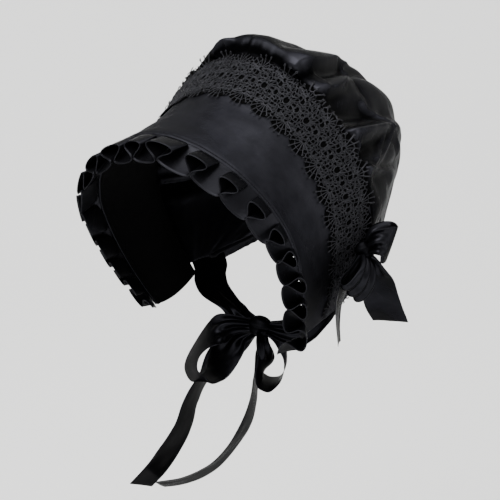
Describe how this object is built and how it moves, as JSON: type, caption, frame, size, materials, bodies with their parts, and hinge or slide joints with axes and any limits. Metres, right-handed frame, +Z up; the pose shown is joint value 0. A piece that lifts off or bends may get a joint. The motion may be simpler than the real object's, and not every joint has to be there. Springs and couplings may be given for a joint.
{
  "type": "brimmed satin bonnet",
  "caption": "Black satin bonnet with a stiff brim, gathered puffed crown, scalloped corded lace, fluted frill, side bow and chin ribbons tied in a bow.",
  "frame": {"origin": "the head seat: inside the top of the crown, on the mid-plane, where the crown of the head comes to when the cap is worn", "axes": "+Z up with the head upright, -Y the way the face looks out, +X to the wearer's left; the neck leaves along -Z"},
  "size_m": [0.2564, 0.3268, 0.4238],
  "materials": {
    "brim_satin": "soft black satin over a stiff brim",
    "crown_satin": "black satin in soft folds, with a broad sheen",
    "corded_lace": "matte black corded cotton lace",
    "ruffle_satin": "black satin frill",
    "nape_casing_satin": "gathered black satin casing",
    "bow_ribbon_satin": "black satin ribbon",
    "tie_ribbon_satin": "black satin ribbon"
  },
  "bodies": {
    "root": {"brim": "brim_satin", "crown": "crown_satin", "lace_band": "corded_lace", "ruffle": "ruffle_satin", "nape_band": "nape_casing_satin", "side_bow_knot": "bow_ribbon_satin", "side_bow_loop_upper": "bow_ribbon_satin", "side_bow_loop_lower": "bow_ribbon_satin", "side_bow_tail_back": "bow_ribbon_satin", "side_bow_tail_front": "bow_ribbon_satin", "chin_ribbon_left": "tie_ribbon_satin", "chin_ribbon_right": "tie_ribbon_satin", "chin_bow_knot": "tie_ribbon_satin", "chin_bow_loop_left": "tie_ribbon_satin", "chin_bow_loop_right": "tie_ribbon_satin", "chin_tail_left": "tie_ribbon_satin", "chin_tail_right": "tie_ribbon_satin"}
  },
  "joints": []
}
